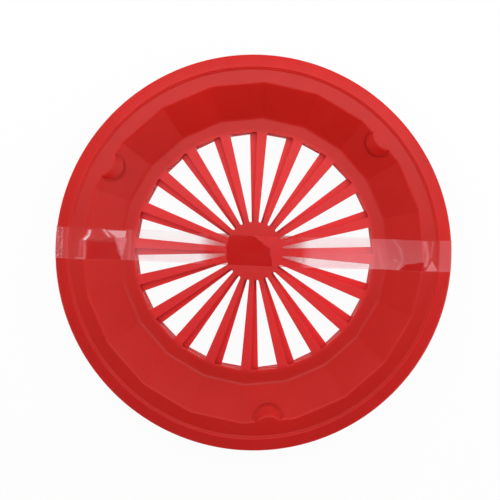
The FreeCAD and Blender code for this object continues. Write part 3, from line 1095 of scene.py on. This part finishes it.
def wall_distance(sizes, tape, across, height, side):
    """How far along the strip the well's wall stands from the strip's centre."""
    offset = Matrix.Rotation(-tape.turn, 2) @ Vector((0.0, tape.shift))
    flat = wall_corner(sizes, height) * math.cos(half_facet(sizes))
    reaches = []
    for facet in range(sizes.facet_count):
        facing = sizes.turn_top + facet * 2 * half_facet(sizes) - tape.turn
        lean = side * math.cos(facing)
        if lean > FACING:
            aside = across + offset.y + drift(tape, flat)
            rest = flat - offset.x * math.cos(facing) - aside * math.sin(facing)
            reaches.append(rest / lean)
    return min(reaches)


def upper_path(sizes, tape, across, side):
    """Half of the upper run in section, from the hub over the rim to the slit."""
    step_top = sizes.crest - sizes.ring_fall + sizes.step_rise
    edge_top = step_top - sizes.lip_fall
    lip_start = sizes.ring_reach + sizes.step_run
    floor = sizes.base_plate + tape.hover
    off = {place: hovers * tape.hover for place, hovers in STAND_OFF.items()}

    def on_wall(height):
        return Vector((wall_distance(sizes, tape, across, height, side) - off["wall"], height))

    wall_foot = Vector((on_wall(sizes.base_plate).x, floor))
    mouth = on_wall(sizes.crest)
    over_mouth = mouth + Vector((0.0, off["mouth"]))
    past_mouth = mouth + Vector((MOUTH_RUN, off["ring"]))
    on_step = Vector((lip_start, step_top + off["step"]))
    on_lip = Vector((sizes.rim_radius - EDGE_RUN, edge_top + EDGE_RISE + off["lip"]))
    over_edge = Vector((tape.side, edge_top + off["edge"]))
    below_edge = Vector((tape.side, edge_top - EDGE_DROP))
    line = [Vector((0.0, floor))]
    line += run(line[-1], Vector((tape.floor_end, floor)), UPPER_STEPS["floor"])
    line += curve(line[-1], wall_foot, on_wall(tape.wall_rise), UPPER_STEPS["sag"])
    line += run(line[-1], on_wall(sizes.crest - MOUTH_DROP), UPPER_STEPS["wall"])
    line += curve(line[-1], over_mouth, past_mouth, UPPER_STEPS["mouth"])
    line += run(line[-1], on_step, UPPER_STEPS["ring"])
    line += run(line[-1], on_lip, UPPER_STEPS["lip"])
    line += curve(line[-1], over_edge, below_edge, UPPER_STEPS["edge"])
    line += run(line[-1], Vector((tape.side, tape.upper_slit)), UPPER_STEPS["side"])
    return line


def under_path(sizes, tape):
    """Half of the under run in section, from below the hub to the slit at the side."""
    foot = wall_corner(sizes, 0.0) + sizes.wall_level
    knee = Vector((tape.side, sizes.crest - KNEE_DROP))
    start = Vector((0.0, STAND_OFF["under"] * tape.hover))
    heel = Vector((foot, start.y))
    slant_start, slant_end = (heel.lerp(knee, part) for part in SLANT)
    line = [start]
    line += run(start, Vector((foot - HEEL_RUN, start.y)), UNDER_STEPS["base"])
    line += curve(line[-1], heel, slant_start, UNDER_STEPS["heel"])
    line += run(line[-1], slant_end, UNDER_STEPS["wall"])
    line += curve(line[-1], knee, knee + Vector((0.0, KNEE_RISE)), UNDER_STEPS["knee"])
    line += run(line[-1], Vector((tape.side, tape.under_slit)), UNDER_STEPS["side"])
    return line


def film_rows(tape, count):
    """Places across the strip."""
    return [tape.width * (row / (count - 1) - 0.5) for row in range(count)]


def path_normals(line):
    """Upward normals of a section line."""
    normals = []
    for index in range(len(line)):
        ahead = line[min(index + 1, len(line) - 1)] - line[max(index - 1, 0)]
        normals.append(Vector((-ahead.y, ahead.x)).normalized())
    return normals


def film_sheet(name, paths, rows, tape, lift, looks):
    """A film through section lines, one for each row across the strip, laid in its place on the pack."""
    place = Matrix.Translation((0.0, tape.shift, lift)) @ Matrix.Rotation(tape.turn, 4, "Z")
    bm = bmesh.new()
    # the film's painted highlights, and its haze
    bright = bm.verts.layers.float.new("painted_fold_highlight")
    milky = bm.verts.layers.float.new("haze")
    grid = []
    for across, line in zip(rows, paths):
        edge = EDGE_GLOW if across in (rows[0], rows[-1]) else 0.0
        row = []
        for point, normal in zip(line, path_normals(line)):
            rise, glow, haze = looks(point.x, across)
            ripple = RIPPLE_HEIGHT * noise.noise(Vector((point.x, across, point.y)) * RIPPLE_NOISE)
            raised = point + normal * (rise + abs(ripple))
            aside = across + drift(tape, raised.x)
            vert = bm.verts.new(place @ Vector((raised.x, aside, raised.y)))
            vert[bright] = max(edge, glow)
            vert[milky] = haze
            row.append(vert)
        grid.append(row)
    for near, far in zip(grid, grid[1:]):
        for index in range(len(near) - 1):
            bm.faces.new((near[index], near[index + 1], far[index + 1], far[index]))
    thing = mesh_object(name, bm)
    thing.data.shade_smooth()
    return thing


def mirrored(line):
    """A section line on the left of the pack, from its far end to the middle."""
    return [Vector((-point.x, point.y)) for point in reversed(line)]


def tail_path(sizes, tape, across, tooth):
    """The cut tail on the left, from the slit over the edge to its serrated end on the lip."""
    outside, above = TAIL_LAP
    lap = Vector((-outside * tape.hover, above * tape.hover))
    half = upper_path(sizes, tape, across, -1)
    whole = [point for point in half if point.x > tape.tail_end + TAIL_STEP]
    head = Vector((tape.tail_end + tooth, whole[0].y + (whole[0].x - tape.tail_end) * TAIL_FALL))
    line = [head] + run(head, whole[0], TAIL_STEPS) + whole[1:]
    return [Vector((-point.x + lap.x, point.y + lap.y)) for point in reversed(line)]


def solid_film(thing, tape, finish, body, node):
    """Give a film its thickness and finish, and fasten it to its body."""
    wall = thing.modifiers.new("film", "SOLIDIFY")
    wall.thickness = tape.film
    wall.offset = 1.0
    thing.data.materials.append(finish)
    thing.visible_shadow = False
    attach(thing, body)
    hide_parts(node)


# Operators


def shared_groups():
    """The node groups that the finishes share, made on first use."""
    makers = {
        "grain": ("satin_grain", satin_grain_group),
        "scuffs": ("handling_scuffs", scuff_group),
        "ragged": ("ragged_place", ragged_place_group),
        "side": ("patch_side", patch_side_group),
    }
    return {key: bpy.data.node_groups.get(name) or make() for key, (name, make) in makers.items()}


class PACK_OT_mould_holders(bpy.types.Operator):
    """Make the nested holders, each turned as it lies in the pack"""

    bl_idname = "plate_pack.mould_holders"
    bl_label = "Mould Holders"

    def execute(self, context):
        sizes = context.scene.plate_holder_sizes
        finishes = context.scene.plate_holder_finishes
        tape = context.scene.plate_tape_sizes
        groups = shared_groups()
        plain = red_plastic("red_plastic", finishes, groups, sizes)
        taped = red_plastic("red_plastic_under_tape", finishes, groups, sizes, tape)
        moulding = moulding_mesh(sizes, plain)
        turns = (sizes.turn_bottom, sizes.turn_second, sizes.turn_third, sizes.turn_top)
        for level, (node, turn) in enumerate(zip(HOLDER_NODES, turns)):
            aside = (level + 1 - len(HOLDER_NODES)) * sizes.nest_shift
            mesh = moulding.copy()
            place = Matrix.Translation((0.0, aside, LIFT_OF[node]))
            mesh.transform(place @ Matrix.Rotation(turn, 4, "Z"))
            mesh.set_sharp_from_angle(angle=SHARP_ANGLE)
            mesh.materials.clear()
            mesh.materials.append(taped if node == TOP_NODE else plain)
            mesh.polygons.foreach_set("material_index", [0] * len(mesh.polygons))
            holder = bpy.data.objects.new("moulded_" + node, mesh)
            context.scene.collection.objects.link(holder)
            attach(holder, BODY_OF[node])
            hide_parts(node)
        bpy.data.meshes.remove(moulding)
        return {"FINISHED"}


class PACK_OT_wind_tape(bpy.types.Operator):
    """Lay the clear strip over the pack and under it"""

    bl_idname = "plate_pack.wind_tape"
    bl_label = "Wind Tape"

    def execute(self, context):
        sizes = context.scene.plate_holder_sizes
        tape = context.scene.plate_tape_sizes
        finish = clear_film("clear_tape", context.scene.plate_holder_finishes, shared_groups(), tape)
        lift = LIFT_OF[TOP_NODE]
        rows = film_rows(tape, FILM_ROWS)
        upper = [
            mirrored(upper_path(sizes, tape, across, -1))[:-1] + upper_path(sizes, tape, across, 1)
            for across in rows
        ]
        top_run = film_sheet("tape_over_pack", upper, rows, tape, lift, loose_film)
        teeth = round(tape.width / tape.tooth)
        half_tooth = TOOTH_STEPS // 2
        fine_rows = film_rows(tape, TOOTH_STEPS * teeth + 1)
        bites = [abs(index % TOOTH_STEPS - half_tooth) / half_tooth for index in range(len(fine_rows))]
        tails = [
            tail_path(sizes, tape, across, tape.tooth_depth * bite)
            for across, bite in zip(fine_rows, bites)
        ]
        tail = film_sheet("tape_cut_tail", tails, fine_rows, tape, lift, cut_film(tape))
        under = [mirrored(under_path(sizes, tape))[:-1] + under_path(sizes, tape) for _ in rows]
        under_run = film_sheet("tape_under_pack", under, rows, tape, 0.0, plain_film)
        solid_film(top_run, tape, finish, BODY_OF["tape_top_run"], "tape_top_run")
        solid_film(tail, tape, finish, BODY_OF["tape_top_run"], "tape_top_run")
        solid_film(under_run, tape, finish, BODY_OF["tape_under_run"], "tape_under_run")
        return {"FINISHED"}


# The stage

WHITE = (1.0, 1.0, 1.0, 1.0)
SENSOR_WIDTH = 36.0
NEAR_CLIP = 10 * MM

# the even light: between which heights it gets stronger low down, how much, and how much more of that
# comes from the right and from the back
LOW_LIGHT = (0.6, 0.05)
LOW_LEVEL = 0.4
LOW_FROM_RIGHT = 0.15
LOW_FROM_BACK = 0.25
# the room as it shows in gloss: how bright it is, and where it fades towards the viewer
ROOM_LEVEL = 0.42
ROOM_FADE = (-0.85, -0.25)
# lit and dim parts of the room: the direction on the level, and how bright; then how they fade at the edge
ROOM_WINDOWS = (((0.91, -0.42), 2.0), ((-0.95, -0.31), 0.3), ((0.77, 0.64), -0.25))
WINDOW_FADE = (0.78, 0.97)
# where the room gets darker overhead, and how much of it is lost there at the front and at the back
OVERHEAD = (0.3, 0.8)
OVERHEAD_SPAN = (-0.6, 0.3)
OVERHEAD_LOSS = (0.9, 0.4)

# the floor: its sides, how far it lies below the pack, its paint, how much of it glows by itself, and how
# much more does where it is seen straight, in gloss or through film
FLOOR_SIDES = 96
FLOOR_DROP = 0.05 * MM
FLOOR_PAINT = (0.9, 0.9, 0.9, 1.0)
FLOOR_GLOW = 0.7
SEEN_GLOW = 0.25


def studio_surround(scene, fill):
    """An even fill that is stronger low down, and in gloss a room that is darkest towards the viewer."""
    world = bpy.data.worlds.new("studio_surround")
    world.use_nodes = True
    scene.world = world
    tree = world.node_tree
    tree.nodes.clear()
    direction = tree.nodes.new("ShaderNodeTexCoord").outputs["Generated"]
    x, y, z = add_node(tree, "ShaderNodeSeparateXYZ", {0: direction}).outputs
    low = ease(tree, z, *LOW_LIGHT)
    from_back = reckon(tree, "MULTIPLY_ADD", y, LOW_FROM_BACK, LOW_LEVEL)
    side = reckon(tree, "MULTIPLY_ADD", x, LOW_FROM_RIGHT, from_back)
    even = reckon(tree, "MULTIPLY_ADD", low, side, fill)
    room = reckon(tree, "MULTIPLY", ease(tree, y, *ROOM_FADE), ROOM_LEVEL)
    for (across, along), brightness in ROOM_WINDOWS:
        facing = reckon(tree, "MULTIPLY_ADD", x, across, reckon(tree, "MULTIPLY", y, along))
        room = reckon(tree, "MULTIPLY_ADD", ease(tree, facing, *WINDOW_FADE), brightness, room)
    overhead_loss = ease(tree, y, *OVERHEAD_SPAN, *OVERHEAD_LOSS)
    lost = reckon(tree, "MULTIPLY", ease(tree, z, *OVERHEAD), overhead_loss)
    room = reckon(tree, "MULTIPLY", room, reckon(tree, "SUBTRACT", 1.0, lost))
    gloss = tree.nodes.new("ShaderNodeLightPath").outputs["Is Glossy Ray"]
    level = add_node(tree, "ShaderNodeMix", {0: gloss, 2: even, 3: room}).outputs[0]
    glow = add_node(tree, "ShaderNodeBackground", {"Color": WHITE, "Strength": level})
    output = tree.nodes.new("ShaderNodeOutputWorld")
    tree.links.new(glow.outputs[0], output.inputs["Surface"])


def pale_floor(radius):
    """A white floor that shows white to the camera and keeps a faint shadow."""
    bm = bmesh.new()
    bmesh.ops.create_circle(bm, cap_ends=True, segments=FLOOR_SIDES, radius=radius)
    floor = mesh_object("floor", bm)
    floor.data.transform(Matrix.Translation((0.0, 0.0, -FLOOR_DROP)))
    material = bpy.data.materials.new("white_floor")
    material.use_nodes = True
    tree = material.node_tree
    tree.nodes.clear()
    paint = add_node(tree, "ShaderNodeBsdfDiffuse", {"Color": FLOOR_PAINT})
    glow = add_node(tree, "ShaderNodeEmission", {"Color": WHITE, "Strength": 1.0})
    rays = tree.nodes.new("ShaderNodeLightPath").outputs
    seen = reckon(tree, "MAXIMUM", rays["Is Camera Ray"], rays["Is Glossy Ray"])
    seen = reckon(tree, "MAXIMUM", seen, rays["Is Transmission Ray"])
    share_of_glow = reckon(tree, "MULTIPLY_ADD", seen, SEEN_GLOW, FLOOR_GLOW)
    mix = add_node(tree, "ShaderNodeMixShader",
                   {0: share_of_glow, 1: paint.outputs[0], 2: glow.outputs[0]})
    output = tree.nodes.new("ShaderNodeOutputMaterial")
    tree.links.new(mix.outputs[0], output.inputs["Surface"])
    floor.data.materials.append(material)


class PACK_OT_set_stage(bpy.types.Operator):
    """Set the floor, the light and the camera"""

    bl_idname = "plate_pack.set_stage"
    bl_label = "Set Stage"

    def execute(self, context):
        scene = context.scene
        studio = scene.plate_studio
        pale_floor(studio.floor_radius)
        studio_surround(scene, studio.fill)
        lamp = bpy.data.lights.new("key_light", "AREA")
        lamp.shape = "RECTANGLE"
        lamp.size = studio.key_width
        lamp.size_y = studio.key_depth
        lamp.energy = studio.key_power
        key = bpy.data.objects.new("key_light", lamp)
        key.location = studio.key_place
        scene.collection.objects.link(key)
        lens = bpy.data.cameras.new("camera")
        lens.sensor_width = SENSOR_WIDTH
        lens.lens = studio.lens
        lens.shift_x, lens.shift_y = studio.camera_shift
        lens.clip_start = NEAR_CLIP
        camera = bpy.data.objects.new("camera", lens)
        camera.location = studio.camera_place
        scene.collection.objects.link(camera)
        scene.camera = camera
        scene.view_settings.view_transform = "Standard"
        return {"FINISHED"}


class PACK_PT_builder(bpy.types.Panel):
    """Panel with the pack's sizes and the steps that build it"""

    bl_label = "Plate Holder Pack"
    bl_space_type = "VIEW_3D"
    bl_region_type = "UI"
    bl_category = "Plate Holders"

    def draw(self, context):
        scene = context.scene
        for settings, operator in (
            (scene.plate_holder_sizes, PACK_OT_mould_holders),
            (scene.plate_tape_sizes, PACK_OT_wind_tape),
            (scene.plate_holder_finishes, None),
            (scene.plate_studio, PACK_OT_set_stage),
        ):
            box = self.layout.box()
            for name in settings.__annotations__:
                box.prop(settings, name)
            if operator:
                box.operator(operator.bl_idname)


SETTINGS = {
    "plate_holder_sizes": HolderSizes,
    "plate_tape_sizes": TapeSizes,
    "plate_holder_finishes": Finishes,
    "plate_studio": StudioLayout,
}
CLASSES = (*SETTINGS.values(), PACK_OT_mould_holders, PACK_OT_wind_tape, PACK_OT_set_stage, PACK_PT_builder)


def register():
    for cls in CLASSES:
        bpy.utils.register_class(cls)
    for name, group in SETTINGS.items():
        setattr(bpy.types.Scene, name, bpy.props.PointerProperty(type=group))


def unregister():
    for name in SETTINGS:
        delattr(bpy.types.Scene, name)
    for cls in reversed(CLASSES):
        bpy.utils.unregister_class(cls)


def main():
    register()
    bpy.ops.plate_pack.mould_holders()
    bpy.ops.plate_pack.wind_tape()
    bpy.ops.plate_pack.set_stage()


if __name__ == "__main__":
    main()
